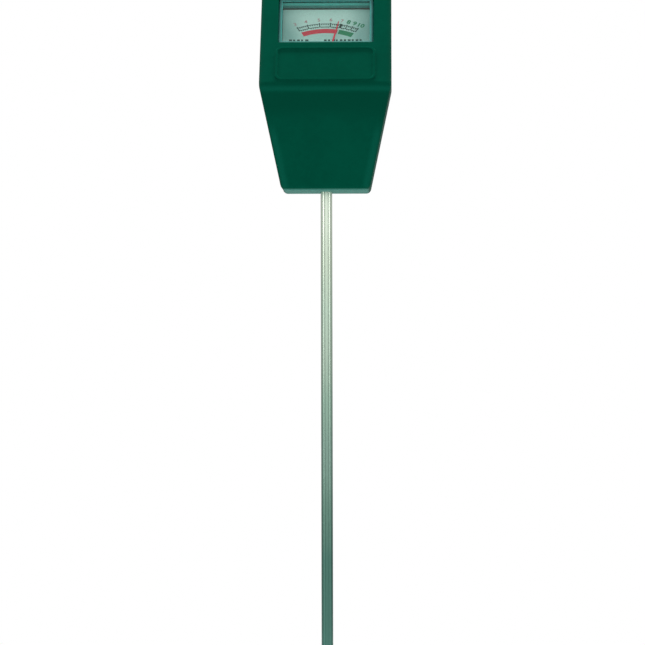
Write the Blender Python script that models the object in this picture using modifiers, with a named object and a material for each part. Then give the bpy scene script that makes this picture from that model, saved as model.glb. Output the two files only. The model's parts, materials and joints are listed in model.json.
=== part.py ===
# Soil meter with a moving-coil movement behind a slanted window and a long two-metal probe.
# Metres, +Z up. The origin is on the probe's axis, at the underside of the case; -Y is the front.
# Behind the slanted face the parts are built in the face frame: X across, Y up the slope, Z out of the face.

import math

import bmesh
import bpy
from mathutils import Matrix, Vector

# Case
CASE_TOP_HALF = 0.0265
CASE_FOOT_HALF = 0.0177
CASE_HEIGHT = 0.083
RIDGE_HEIGHT = 0.04166
FRONT_FOOT_Y = -0.0190
RIDGE_Y = -0.02824
BACK_Y = 0.0190
SLOPE = math.radians(45)
WALL = 0.0020
RIDGE_TURN = math.radians(57)
RIDGE_RADIUS = 0.0040
EDGE_RADIUS = 0.0016
PARTING_Y = 0.0170
GAP = 0.0003

# Window and badge on the slanted face: half width, lowest and highest place up the slope
WINDOW_HALF = 0.0193
WINDOW_LOW, WINDOW_HIGH = 0.0263, 0.0541
BADGE_HALF = 0.0201
BADGE_LOW, BADGE_HIGH = 0.0026, 0.0228
BADGE_RADIUS = 0.0028
BADGE_RIM = 0.0011
BADGE_RISE = 0.0006

# Screw posts of the case: x and z of the upper and lower pair
UPPER_POST = (0.0228, 0.0775)
LOWER_POST = (0.0150, 0.0068)
POST_RADIUS = 0.0025
PILOT_RADIUS = 0.0011

# Meter in the face frame
PIVOT_Y = 0.01628
COVER_HALF = 0.0200
COVER_LOW, COVER_HIGH = 0.0033, 0.0553
COVER_WALL = 0.0010
COVER_FRONT = -0.0008
COVER_SHOULDER = -0.0023
COVER_BACK = -0.0060
DIAL_FRONT, DIAL_BACK = -0.0050, -0.0055
DIAL_HALF = 0.0178
DIAL_LOW, DIAL_HIGH = 0.0195, 0.0523
PLATE_FRONT, PLATE_BACK = -0.0058, -0.0073
CUP_RADIUS = 0.0129
CUP_BORE = 0.0099
CUP_LEDGE, CUP_FLOOR, CUP_BACK = -0.0158, -0.0210, -0.0225
PAD_X = 0.0124
MAGNET_FRONT, MAGNET_BACK = -0.0095, -0.0155
MAGNET_RADIUS = 0.0050
BRIDGE_FRONT, BRIDGE_BACK = -0.0042, -0.0049
HUB_FRONT, HUB_BACK = -0.0067, -0.0071
POINTER_HEIGHT = -0.0040
POINTER_LENGTH = 0.0278
REST_ANGLE = math.radians(10.5)
SCREW_EAR_X, SCREW_EAR_Y = 0.0224, 0.0245
SCREW_EAR_RADIUS = 0.0019
DIAL_SCREW_X, DIAL_SCREW_Y = 0.0155, 0.0220
TERMINAL_X, TERMINAL_Y = 0.0165, 0.0105
STOP_RADIUS, STOP_PIN = 0.0109, 0.00035
LEFT_STOP, RIGHT_STOP = -29.5, 32.5
JEWEL_HOLE = 0.00115
SUPPORT_HOLE = 0.0012
LEAD_RADIUS = 0.00055

# Probe
TUBE_RADIUS = 0.00235
TUBE_BORE = 0.00195
TUBE_TOP = 0.0170
TUBE_END = -0.1885
TIP_START = -0.1925
TIP_TAPER = -0.2010
TIP_END = -0.2080
ROD_RADIUS = 0.00075
ROD_TOP = 0.0240


def clear_scene():
    for old in list(bpy.data.objects):
        bpy.data.objects.remove(old, do_unlink=True)


def new_collection(name):
    made = bpy.data.collections.new(name)
    bpy.context.scene.collection.children.link(made)
    return made


def material(name, colour, roughness, metallic=0.0, alpha=1.0):
    made = bpy.data.materials.new(name)
    made.use_nodes = True
    shader = made.node_tree.nodes["Principled BSDF"]
    shader.inputs["Base Color"].default_value = (*colour, 1.0)
    shader.inputs["Roughness"].default_value = roughness
    shader.inputs["Metallic"].default_value = metallic
    shader.inputs["Alpha"].default_value = alpha
    made.diffuse_color = (*colour, alpha)
    return made


clear_scene()
PARTS = new_collection("soil_meter")
CUTTERS = new_collection("soil_meter_cutters")
GREEN = material("green_plastic", (0.002, 0.062, 0.036), 0.45)
CLEAR = material("clear_plastic", (0.90, 0.95, 0.94), 0.05, alpha=0.3)
DIAL_WHITE = material("dial_white", (0.62, 0.72, 0.66), 0.4)
BLACK = material("black_plastic", (0.012, 0.012, 0.013), 0.5)
RED = material("red_paint", (0.60, 0.02, 0.02), 0.4)
STEEL = material("plated_steel", (0.62, 0.64, 0.60), 0.25, metallic=1.0)
DARK_STEEL = material("dark_steel", (0.22, 0.22, 0.23), 0.4, metallic=1.0)
BRASS = material("brass", (0.70, 0.48, 0.18), 0.3, metallic=1.0)
ALLOY = material("alloy", (0.75, 0.76, 0.77), 0.35, metallic=1.0)
COPPER = material("copper_wire", (0.58, 0.22, 0.09), 0.35, metallic=1.0)
NYLON = material("white_nylon", (0.72, 0.72, 0.68), 0.5)
RED_PVC = material("red_pvc", (0.50, 0.02, 0.02), 0.5)
BLACK_PVC = material("black_pvc", (0.01, 0.01, 0.01), 0.5)


def empty(name, parent=None, location=(0, 0, 0), rotation=(0, 0, 0)):
    made = bpy.data.objects.new(name, None)
    PARTS.objects.link(made)
    made.parent = parent
    made.location = location
    made.rotation_euler = rotation
    made.empty_display_size = 0.01
    return made


FACE = empty("face_frame", location=(0, RIDGE_Y, RIDGE_HEIGHT), rotation=(SLOPE, 0, 0))
WORKS = empty("works_axis", FACE, (0, PIVOT_Y, 0), (0, 0, -REST_ANGLE))


def add(name, mesh, finish=None, parent=None, location=(0, 0, 0), rotation=(0, 0, 0)):
    """Adds a part, or a hidden cutter when it has no finish."""
    made = bpy.data.objects.new(name, mesh)
    (PARTS if finish else CUTTERS).objects.link(made)
    made.parent = parent
    made.location = location
    made.rotation_euler = rotation
    if finish:
        made.data.materials.append(finish)
    else:
        made.hide_render = True
        made.display_type = "WIRE"
    return made


def to_mesh(name, bm):
    mesh = bpy.data.meshes.new(name)
    bm.to_mesh(mesh)
    bm.free()
    return mesh


def box(name, low, high):
    bm = bmesh.new()
    bmesh.ops.create_cube(bm, size=1.0)
    size = Vector(high) - Vector(low)
    bmesh.ops.scale(bm, vec=size, verts=bm.verts)
    bmesh.ops.translate(bm, vec=Vector(low) + size / 2, verts=bm.verts)
    return to_mesh(name, bm)


def rod(name, radius, low, high, at=(0, 0), segments=20):
    """A round bar along Z."""
    bm = bmesh.new()
    bmesh.ops.create_cone(bm, cap_ends=True, segments=segments, radius1=radius, radius2=radius,
                          depth=high - low)
    bmesh.ops.translate(bm, vec=(at[0], at[1], (low + high) / 2), verts=bm.verts)
    mesh = to_mesh(name, bm)
    mesh.shade_smooth()
    mesh.set_sharp_from_angle(angle=math.radians(35))
    return mesh


def turned(name, profile, finish, parent=None, location=(0, 0, 0), rotation=(0, 0, 0), steps=24):
    """Turns a profile of (radius, height) points, which runs down its outer side, about Z."""
    bm = bmesh.new()
    points = [bm.verts.new((r, 0, z)) for r, z in profile]
    closed = all(r > 0 for r, _ in profile)
    for a, b in zip(points, points[1:] + points[:1] if closed else points[1:]):
        bm.edges.new((a, b))
    made = add(name, to_mesh(name, bm), finish, parent, location, rotation)
    screw = made.modifiers.new("turn", "SCREW")
    screw.steps = steps
    screw.render_steps = steps
    screw.use_merge_vertices = True
    screw.merge_threshold = 0.00001
    screw.use_smooth_shade = True
    return made


def wire(name, points, radius, finish, parent=None):
    """A round wire through its points, with capped ends."""
    curve = bpy.data.curves.new(name, "CURVE")
    curve.dimensions = "3D"
    curve.bevel_depth = radius
    curve.bevel_resolution = 2
    curve.use_fill_caps = True
    spline = curve.splines.new("POLY")
    spline.points.add(len(points) - 1)
    for point, place in zip(spline.points, points):
        point.co = (*place, 1.0)
    made = bpy.data.objects.new(name, curve)
    PARTS.objects.link(made)
    made.parent = parent
    made.data.materials.append(finish)
    return made


def outline(name, points, low, high):
    """A flat outline in XY, made solid between two heights."""
    bm = bmesh.new()
    face = bm.faces.new([bm.verts.new((x, y, low)) for x, y in points])
    if face.normal.z > 0:
        face.normal_flip()
    raised = bmesh.ops.extrude_face_region(bm, geom=[face])["geom"]
    up = [v for v in raised if isinstance(v, bmesh.types.BMVert)]
    bmesh.ops.translate(bm, vec=(0, 0, high - low), verts=up)
    bmesh.ops.recalc_face_normals(bm, faces=bm.faces)
    return to_mesh(name, bm)


def rounded_rectangle(half, low, high, radius, steps=6):
    """Points of a rectangle about X = 0 with round corners, anticlockwise."""
    points = []
    corners = ((half, high, 0), (-half, high, 90), (-half, low, 180), (half, low, 270))
    for x, y, start in corners:
        centre = (x - math.copysign(radius, x), y - (radius if y == high else -radius))
        for i in range(steps + 1):
            angle = math.radians(start + 90 * i / steps)
            points.append((centre[0] + radius * math.cos(angle), centre[1] + radius * math.sin(angle)))
    return points


def combine(target, mesh, operation, parent=None, location=(0, 0, 0), rotation=(0, 0, 0)):
    """Cuts a hidden shape from the target, or joins it on."""
    tool = add(f"{target.name}_{mesh.name}", mesh, None, parent, location, rotation)
    boolean = target.modifiers.new(mesh.name, "BOOLEAN")
    boolean.operation = operation
    boolean.solver = "EXACT"
    boolean.object = tool
    return tool


def cut(target, mesh, **place):
    return combine(target, mesh, "DIFFERENCE", **place)


def join(target, mesh, **place):
    return combine(target, mesh, "UNION", **place)


def round_edges(target, width, segments=2, degrees=30):
    bevel = target.modifiers.new("round_edges", "BEVEL")
    bevel.width = width
    bevel.segments = segments
    bevel.limit_method = "ANGLE"
    bevel.angle_limit = math.radians(degrees)
    return bevel


def case_half_width(z, inset=0.0):
    """The case narrows from its ridge down to its foot."""
    taper = (CASE_TOP_HALF - CASE_FOOT_HALF) * min(z / RIDGE_HEIGHT, 1.0)
    return CASE_FOOT_HALF + taper - inset


def wedge(name, side, inset=0.0):
    """A side outline of (y, z) points, split at its ridge and made as wide as the case at each height."""
    bm = bmesh.new()
    face = bm.faces.new([bm.verts.new((-1.0, y, z)) for y, z in side])
    raised = bmesh.ops.extrude_face_region(bm, geom=[face])["geom"]
    for vert in (v for v in raised if isinstance(v, bmesh.types.BMVert)):
        vert.co.x = 1.0
    everything = [*bm.verts, *bm.edges, *bm.faces]
    bmesh.ops.bisect_plane(bm, geom=everything, dist=1e-6, plane_co=(0, 0, side[1][1]), plane_no=(0, 0, 1))
    for vert in bm.verts:
        vert.co.x *= case_half_width(vert.co.z, inset)
    bmesh.ops.recalc_face_normals(bm, faces=bm.faces)
    return bm


def round_wedge(bm, flat_y):
    """Rounds the outside edges, apart from those of the flat face at the parting plane."""
    ridge = [e for e in bm.edges if all(v.co.y < RIDGE_Y + 1e-6 for v in e.verts)]
    if ridge:
        bmesh.ops.bevel(bm, geom=ridge, offset=RIDGE_RADIUS * math.tan(RIDGE_TURN / 2), offset_type="OFFSET",
                        segments=4, profile=0.5, affect="EDGES")
    sharp = [e for e in bm.edges if e.calc_face_angle(0) > math.radians(40)
             and not all(abs(v.co.y - flat_y) < 1e-6 for v in e.verts)]
    bmesh.ops.bevel(bm, geom=sharp, offset=EDGE_RADIUS, offset_type="OFFSET", segments=3, profile=0.5,
                    affect="EDGES")


def front_outline(inset, back):
    """The case seen from the side, each face moved in by the inset."""
    lean = (RIDGE_Y - FRONT_FOOT_Y) / RIDGE_HEIGHT
    front_shift = inset * math.hypot(1, lean)
    slope_shift = inset / math.cos(SLOPE)
    foot, top = inset, CASE_HEIGHT - inset
    ridge = RIDGE_HEIGHT + (slope_shift - front_shift) / (lean - 1 / math.tan(SLOPE))
    return [(FRONT_FOOT_Y + foot * lean + front_shift, foot),
            (FRONT_FOOT_Y + ridge * lean + front_shift, ridge),
            (RIDGE_Y + slope_shift + (top - RIDGE_HEIGHT) / math.tan(SLOPE), top), (back, top), (back, foot)]


def along_y(name, radius, low, high, segments=20):
    """A round bar along Y between two places."""
    mesh = rod(name, radius, low, high, segments=segments)
    mesh.transform(Matrix.Rotation(math.radians(-90), 4, "X"))
    return mesh


def case_posts():
    for x, z in (UPPER_POST, LOWER_POST):
        for side in (-1, 1):
            yield side * x, z


def front_housing():
    bm = wedge("front_housing", front_outline(0, PARTING_Y))
    round_wedge(bm, PARTING_Y)
    body = add("front_housing", to_mesh("front_housing", bm), GREEN)
    cut(body, to_mesh("hollow", wedge("hollow", front_outline(WALL, BACK_Y + 0.002), WALL)))
    badge = rounded_rectangle(BADGE_HALF, BADGE_LOW, BADGE_HIGH, BADGE_RADIUS)
    inside = rounded_rectangle(BADGE_HALF - BADGE_RIM, BADGE_LOW + BADGE_RIM,
                               BADGE_HIGH - BADGE_RIM, BADGE_RADIUS - BADGE_RIM * 0.6)
    join(body, outline("badge", badge, -WALL / 2, BADGE_RISE), parent=FACE)
    cut(body, outline("badge_field", inside, 0.0001, 0.01), parent=FACE)
    window = rounded_rectangle(WINDOW_HALF, WINDOW_LOW, WINDOW_HIGH, 0.0006, steps=2)
    cut(body, outline("window", window, -0.01, 0.01), parent=FACE)
    for index, (x, z) in enumerate(case_posts()):
        front = -0.0180 if z < RIDGE_HEIGHT else 0.0104
        join(body, along_y(f"post_{index}", POST_RADIUS, front, PARTING_Y - 0.0002), location=(x, 0, z))
    for index, (x, z) in enumerate(case_posts()):
        cut(body, along_y(f"pilot_{index}", PILOT_RADIUS, PARTING_Y - 0.0070, PARTING_Y + 0.01, 12),
            location=(x, 0, z))
    join(body, rod("boss", 0.0052, WALL / 2, 0.0120, segments=28))
    cut(body, rod("boss_bore", TUBE_RADIUS + GAP, -0.01, 0.03, segments=28))
    for side in (-1, 1):
        join(body, rod(f"ear_post_{side}", SCREW_EAR_RADIUS, -0.0060, -WALL / 2,
                       at=(side * SCREW_EAR_X, SCREW_EAR_Y)),
             parent=FACE)
        cut(body, rod(f"ear_pilot_{side}", 0.00095, -0.0100, -0.0022, at=(side * SCREW_EAR_X, SCREW_EAR_Y),
                      segments=12), parent=FACE)
    for step in body.modifiers:
        step.solver = "MANIFOLD"  # the exact solver turns this shell inside out
    return body


def rear_cover():
    """The back of the wedge, with a locating lip inside the case and four counterbored holes."""
    front = PARTING_Y + GAP
    side = [(front, 0), (front, RIDGE_HEIGHT), (front, CASE_HEIGHT), (BACK_Y, CASE_HEIGHT), (BACK_Y, 0)]
    bm = wedge("rear_cover", side)
    round_wedge(bm, front)
    body = add("rear_cover", to_mesh("rear_cover", bm), GREEN)
    heights = (0.0105, RIDGE_HEIGHT, 0.0735)
    outer = [(case_half_width(z, WALL + GAP), -z) for z in heights]
    inner = [(case_half_width(z, WALL + GAP + 0.0012), -z) for z in reversed(heights)]
    for side in (-1, 1):
        rail = [(x * side, y) for x, y in outer + inner]
        join(body, outline(f"lip_{side}", rail, 0.0150, 0.0180), rotation=(math.radians(-90), 0, 0))
    for index, (x, z) in enumerate(case_posts()):
        cut(body, along_y(f"hole_{index}", 0.0013, 0.010, 0.030, 16), location=(x, 0, z))
        cut(body, along_y(f"counterbore_{index}", 0.0025, BACK_Y - 0.0010, 0.030), location=(x, 0, z))
    return body


def slotted_screw(name, head, head_height, shank, length, parent=None, location=(0, 0, 0), rotation=(0, 0, 0),
                  finish=STEEL):
    """A screw whose shank points along -Z from under its head, with a driver slot."""
    body = turned(name, [(0, head_height), (head * 0.82, head_height), (head, head_height * 0.6), (head, 0),
                         (shank, 0), (shank, -length + shank), (shank * 0.35, -length), (0, -length)],
                  finish, parent, location, rotation, steps=16)
    slot = box("slot", (-head * 1.2, -head * 0.14, head_height * 0.5),
               (head * 1.2, head * 0.14, head_height * 2))
    cut(body, slot, parent=parent, location=location, rotation=rotation)
    return body


def cover_screws():
    for index, (x, z) in enumerate(case_posts()):
        slotted_screw(f"cover_screw_{index + 1}", 0.0022, 0.0008, 0.00085, 0.0076,
                      location=(x, BACK_Y - 0.0009, z), rotation=(math.radians(-90), 0, 0))


def meter_cover():
    """The clear cover: a box that stands in the window, on a wider skirt behind the case wall."""
    body = add("meter_cover", box("meter_cover", (-COVER_HALF, COVER_LOW, COVER_BACK),
                                  (COVER_HALF, COVER_HIGH, COVER_SHOULDER)), CLEAR, FACE)
    half = WINDOW_HALF - GAP
    low, high = WINDOW_LOW + GAP, WINDOW_HIGH - GAP
    front = outline("window_box", rounded_rectangle(half, low, high, 0.0004, steps=2), -0.0030, COVER_FRONT)
    join(body, front, parent=FACE)
    wall = COVER_WALL
    cut(body, box("skirt_room", (-COVER_HALF + wall, COVER_LOW + wall, -0.02),
                  (COVER_HALF - wall, COVER_HIGH - wall, COVER_SHOULDER - wall)), parent=FACE)
    cut(body, box("window_room", (-half + wall, low + wall, -0.02),
                  (half - wall, high - wall, COVER_FRONT - wall)), parent=FACE)
    return body


def stop_places():
    """Where the two stop pins stand: their radius and angles from straight up the slope."""
    clearance = math.degrees(math.asin(2 * STOP_PIN / STOP_RADIUS)) + 0.5
    for side, angle in (("left", LEFT_STOP - clearance), ("right", RIGHT_STOP + clearance)):
        turn = math.radians(angle)
        yield side, (STOP_RADIUS * math.sin(turn), PIVOT_Y + STOP_RADIUS * math.cos(turn))


def dial_plate():
    """The scale plate, cut away round the movement, with holes for its screws and the stop pins."""
    body = add("dial_plate", box("dial_plate", (-DIAL_HALF, DIAL_LOW, DIAL_BACK),
                                 (DIAL_HALF, DIAL_HIGH, DIAL_FRONT)), DIAL_WHITE, FACE)
    cut(body, rod("works_hole", CUP_BORE, -0.010, 0, at=(0, PIVOT_Y), segments=40), parent=FACE)
    for side in (-1, 1):
        cut(body, rod(f"screw_hole_{side}", 0.00070, -0.010, 0, at=(side * DIAL_SCREW_X, DIAL_SCREW_Y),
                      segments=12),
            parent=FACE)
    for side, place in stop_places():
        cut(body, rod(f"stop_hole_{side}", 0.00065, -0.010, 0, at=place, segments=12), parent=FACE)
    return body


def meter_frame():
    """The moulded base of the meter: a plate under the dial, and a cup that holds the magnet system."""
    body = add("meter_frame", box("meter_frame", (-COVER_HALF, COVER_LOW, PLATE_BACK),
                                  (COVER_HALF, COVER_HIGH, COVER_BACK - GAP)), BLACK, FACE)
    inner = COVER_HALF - COVER_WALL - 0.0004
    join(body, box("plate", (-inner, COVER_LOW + 0.0014, -0.0070), (inner, COVER_HIGH - 0.0014, PLATE_FRONT)),
         parent=FACE)
    cup = rod("cup", CUP_RADIUS, CUP_BACK, PLATE_BACK + 0.0005, at=(0, PIVOT_Y), segments=48)
    join(body, cup, parent=FACE)
    for side in (-1, 1):
        ear = rod(f"ear_{side}", SCREW_EAR_RADIUS, PLATE_BACK, COVER_BACK - GAP,
                  at=(side * SCREW_EAR_X, SCREW_EAR_Y))
        join(body, ear, parent=FACE)
        link = box(f"ear_link_{side}", (min(side * 0.0190, side * 0.0222), SCREW_EAR_Y - 0.0015, PLATE_BACK),
                   (max(side * 0.0190, side * 0.0222), SCREW_EAR_Y + 0.0015, COVER_BACK - GAP))
        join(body, link, parent=FACE)
        cut(body, rod(f"ear_hole_{side}", 0.0010, -0.02, 0, at=(side * SCREW_EAR_X, SCREW_EAR_Y),
                      segments=12),
            parent=FACE)
        join(body, rod(f"pad_{side}", 0.0016, -0.0065, BRIDGE_BACK - 0.0001, at=(side * PAD_X, PIVOT_Y)),
             parent=FACE)
        cut(body, rod(f"pad_hole_{side}", 0.00065, -0.0100, 0, at=(side * PAD_X, PIVOT_Y), segments=12),
            parent=FACE)
        cut(body, rod(f"dial_hole_{side}", 0.00065, -0.02, 0, at=(side * DIAL_SCREW_X, DIAL_SCREW_Y),
                      segments=12),
            parent=FACE)
        cut(body, rod(f"pin_hole_{side}", 0.00085, -0.02, 0, at=(side * TERMINAL_X, TERMINAL_Y), segments=12),
            parent=FACE)
    for side, place in stop_places():
        cut(body, rod(f"stop_hole_{side}", 0.00050, -0.0072, 0, at=place, segments=12), parent=FACE)
    cut(body, rod("ring_bore", CUP_BORE, CUP_LEDGE, 0, at=(0, PIVOT_Y), segments=48), parent=FACE)
    cut(body, rod("coil_bore", 0.0085, CUP_FLOOR, -0.010, at=(0, PIVOT_Y), segments=40), parent=FACE)
    cut(body, rod("jewel_hole", JEWEL_HOLE, -0.03, -0.010, at=(0, PIVOT_Y), segments=16), parent=FACE)
    return body


def meter_fasteners():
    flip = (math.radians(180), 0, 0)
    for side, name in ((-1, "left"), (1, "right")):
        slotted_screw(f"meter_screw_{name}", 0.0017, 0.0010, 0.00080, 0.0045, FACE,
                      (side * SCREW_EAR_X, SCREW_EAR_Y, PLATE_BACK - GAP), flip)
        slotted_screw(f"dial_screw_{name}", 0.0011, 0.0004, 0.00050, 0.0030, FACE,
                      (side * DIAL_SCREW_X, DIAL_SCREW_Y, DIAL_FRONT + 0.0002), finish=BRASS)
        slotted_screw(f"bridge_screw_{name}", 0.0012, 0.0005, 0.00055, 0.0040, FACE,
                      (side * PAD_X, PIVOT_Y, BRIDGE_FRONT + 0.0001), finish=BRASS)
        pin = [(0, -0.0060), (0.00070, -0.0060),
               (0.00070, PLATE_BACK - 0.0002), (0.0014, PLATE_BACK - 0.0002),
               (0.0014, PLATE_BACK - 0.0008), (0.00060, PLATE_BACK - 0.0008), (0.00060, -0.0130), (0, -0.0130)]
        turned(f"meter_terminal_{name}", pin, BRASS, FACE, (side * TERMINAL_X, TERMINAL_Y, 0), steps=16)
    for side, place in stop_places():
        add(f"pointer_stop_{side}", rod(f"pointer_stop_{side}", STOP_PIN, -0.0070, -0.0036, segments=12), BRASS,
            FACE, (*place, 0))


def yoke_ring():
    ring = [(0.0096, MAGNET_FRONT), (0.0096, MAGNET_BACK), (0.0080, MAGNET_BACK), (0.0080, MAGNET_FRONT)]
    body = turned("yoke_ring", ring, DARK_STEEL, FACE, (0, PIVOT_Y, 0), steps=48)
    cut(body, along_y("support_hole", SUPPORT_HOLE, -0.012, 0.012, 12), parent=FACE,
        location=(0, PIVOT_Y, (MAGNET_FRONT + MAGNET_BACK) / 2))
    return body


def magnet_core():
    core = [(0, MAGNET_FRONT), (MAGNET_RADIUS - 0.0003, MAGNET_FRONT), (MAGNET_RADIUS, MAGNET_FRONT - 0.0003),
            (MAGNET_RADIUS, MAGNET_BACK + 0.0003), (MAGNET_RADIUS - 0.0003, MAGNET_BACK), (0, MAGNET_BACK)]
    body = turned("magnet_core", core, DARK_STEEL, FACE, (0, PIVOT_Y, 0), steps=40)
    middle = (MAGNET_FRONT + MAGNET_BACK) / 2
    cut(body, along_y("support_hole", SUPPORT_HOLE, -0.012, 0.012, 12), parent=FACE,
        location=(0, PIVOT_Y, middle))
    add("core_support", along_y("core_support", 0.0009, -0.0093, 0.0093, 16), BRASS, FACE, (0, PIVOT_Y, middle))
    return body


def upper_bridge():
    strap = rounded_rectangle(0.0143, -0.0019, 0.0019, 0.0018, steps=5)
    body = add("upper_bridge", outline("upper_bridge", strap, BRIDGE_BACK, BRIDGE_FRONT), ALLOY, FACE,
               (0, PIVOT_Y, 0))
    cut(body, rod("jewel_hole", JEWEL_HOLE, -0.01, 0, segments=16), parent=FACE, location=(0, PIVOT_Y, 0))
    for side in (-1, 1):
        cut(body, rod(f"screw_hole_{side}", 0.00075, -0.01, 0, at=(side * PAD_X, 0), segments=12), parent=FACE,
            location=(0, PIVOT_Y, 0))
    return body


def jewel_screws():
    """Two pivot screws, each with a cone for a staff's point in its end and a slot in its head."""
    for name, head, tip in (("upper_jewel_screw", -0.0036, -0.0058), ("lower_jewel_screw", -0.0230, -0.0194)):
        length = abs(tip - head)
        face = [(0, 0), (0.0010, 0), (0.0010, -length), (0.00045, -length), (0, -length + 0.0004)]
        turn = (0, 0, 0) if tip < head else (math.radians(180), 0, 0)
        body = turned(name, face, BRASS, FACE, (0, PIVOT_Y, head), turn, steps=16)
        slot = box("slot", (-0.002, -0.00018, -0.0005), (0.002, 0.00018, 0.001))
        cut(body, slot, parent=FACE, location=(0, PIVOT_Y, head), rotation=turn)


def zero_adjuster():
    """A friction ring under the bridge: its lever shifts the outer end of the upper hairspring."""
    axis = (0, PIVOT_Y, 0)
    body = add("zero_adjuster", rod("zero_adjuster", 0.0024, -0.0055, -0.0051, segments=24), ALLOY, FACE, axis)
    join(body, box("lever", (-0.0005, -0.0070, -0.0055), (0.0005, -0.0018, -0.0051)), parent=FACE,
         location=axis)
    join(body, box("arm", (-0.0041, -0.0004, -0.0055), (-0.0018, 0.0004, -0.0051)), parent=FACE, location=axis)
    join(body, rod("spring_post", 0.00030, -0.0063, -0.0053, at=(-0.0038, 0), segments=10), parent=FACE,
         location=axis)
    cut(body, rod("screw_hole", 0.00120, -0.01, 0, segments=20), parent=FACE, location=axis)
    return body


def hairspring(name, height, turns, outer, start_turn, tail=None):
    """A flat spiral from the staff out to its fixed end."""
    inner = 0.00065
    count = int(turns * 14)
    points = []
    for i in range(count + 1):
        part = i / count
        angle = start_turn + 2 * math.pi * turns * part
        radius = inner + (outer - inner) * part
        points.append((radius * math.cos(angle), PIVOT_Y + radius * math.sin(angle), height))
    if tail:
        points.append((points[-1][0] + tail * math.cos(angle), points[-1][1] + tail * math.sin(angle), height))
    return wire(name, points, 0.00011, BRASS, FACE)


def loop(name, outer_half, outer_front, outer_back, depth, inner_half, inner_front, inner_back, finish):
    """A rectangular frame round the magnet core."""
    body = add(name, box(name, (-outer_half, -depth, outer_back), (outer_half, depth, outer_front)), finish,
               WORKS)
    cut(body, box("inside", (-inner_half, -2 * depth, inner_back), (inner_half, 2 * depth, inner_front)),
        parent=WORKS)
    return body


def moving_coil():
    loop("coil_bobbin", 0.0058, -0.0088, -0.0162, 0.0018, 0.0054, -0.0092, -0.0158, ALLOY)
    winding = loop("coil_winding", 0.0069, -0.0078, -0.0172, 0.0014, 0.0059, -0.0087, -0.0163, COPPER)
    round_edges(winding, 0.0003, segments=2, degrees=60)
    upper = [(0, -0.0059), (0.00045, -0.0063), (0.00045, -0.0073), (0.0015, -0.0073), (0.0015, -0.0076),
             (0, -0.0076)]
    turned("upper_staff", upper, STEEL, WORKS, steps=16)
    lower = [(0, -0.0174), (0.0015, -0.0174), (0.0015, -0.0177), (0.00045, -0.0177), (0.00045, -0.0187),
             (0, -0.0192)]
    turned("lower_staff", lower, STEEL, WORKS, steps=16)


def pointer_hub():
    """A disc with three wire arms for the balance weights."""
    body = add("pointer_hub", rod("pointer_hub", 0.0018, HUB_BACK, HUB_FRONT, segments=24), ALLOY, WORKS)
    middle = (HUB_FRONT + HUB_BACK) / 2
    for name, degrees in (("right", 0), ("left", 180), ("tail", 270)):
        turn = math.radians(degrees)
        arm = rod(f"arm_{name}", 0.00018, 0.0015, 0.0056, segments=8)
        arm.transform(Matrix.Rotation(math.radians(90), 4, "Y"))
        join(body, arm, parent=WORKS, location=(0, 0, middle), rotation=(0, 0, turn))
        weight = [(0.00055, 0.0050), (0.00055, 0.0037), (0.00026, 0.0037), (0.00026, 0.0050)]
        place = (0, 0, middle)
        turned(f"balance_weight_{name}", weight, BRASS, WORKS, place, (0, math.radians(90), turn), steps=12)
    cut(body, rod("staff_hole", 0.00055, -0.01, 0, segments=16), parent=WORKS)
    return body


def pointer():
    """A thin blade that climbs over the edge of the dial and runs to a fine tip."""
    low = (HUB_FRONT + HUB_BACK) / 2
    stations = ((0.00195, 0.00085, low), (0.0060, 0.00055, low), (0.0088, 0.00035, POINTER_HEIGHT),
                (0.0200, 0.00030, POINTER_HEIGHT), (POINTER_LENGTH, 0.00018, POINTER_HEIGHT))
    bm = bmesh.new()
    rows = [(bm.verts.new((-half, y, z)), bm.verts.new((half, y, z))) for y, half, z in stations]
    for (a, b), (c, d) in zip(rows, rows[1:]):
        bm.faces.new((a, b, d, c))
    body = add("pointer", to_mesh("pointer", bm), RED, WORKS)
    solid = body.modifiers.new("thickness", "SOLIDIFY")
    solid.thickness = 0.00025
    solid.offset = 0.0
    return body


def probe():
    tube = [(TUBE_RADIUS, TUBE_TOP), (TUBE_RADIUS, TUBE_END), (TUBE_BORE, TUBE_END), (TUBE_BORE, TUBE_TOP)]
    turned("probe_tube", tube, STEEL, steps=32)
    ring = [(0.0018, TUBE_END + 0.0040), (0.0018, TUBE_END - GAP), (TUBE_RADIUS, TUBE_END - GAP),
            (TUBE_RADIUS, TIP_START + GAP), (0.00095, TIP_START + GAP), (0.00095, TUBE_END + 0.0040)]
    turned("probe_insulator", ring, NYLON, steps=28)
    taper = [(0.00095, TIP_START), (TUBE_RADIUS, TIP_START)]
    steps = 6
    for i in range(steps + 1):
        angle = math.pi / 2 * i / steps
        taper.append((TUBE_RADIUS * math.cos(angle) ** 0.8 if i < steps else 0,
                      TIP_TAPER + (TIP_END - TIP_TAPER) * math.sin(angle)))
    well = [(0, TIP_START - 0.0050), (0.00095, TIP_START - 0.0050)]
    turned("probe_tip", well + taper, ALLOY, steps=28)
    rod_end = TIP_START - 0.0047
    rod_profile = [(0, ROD_TOP), (ROD_RADIUS, ROD_TOP), (ROD_RADIUS, rod_end), (0, rod_end)]
    turned("core_rod", rod_profile, BRASS, steps=16)
    sleeve = [(0.00170, TUBE_TOP + 0.0020), (0.00170, TUBE_END + 0.0043), (0.00095, TUBE_END + 0.0043),
              (0.00095, TUBE_TOP + 0.0020)]
    turned("insulating_sleeve", sleeve, NYLON, steps=20)


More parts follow.
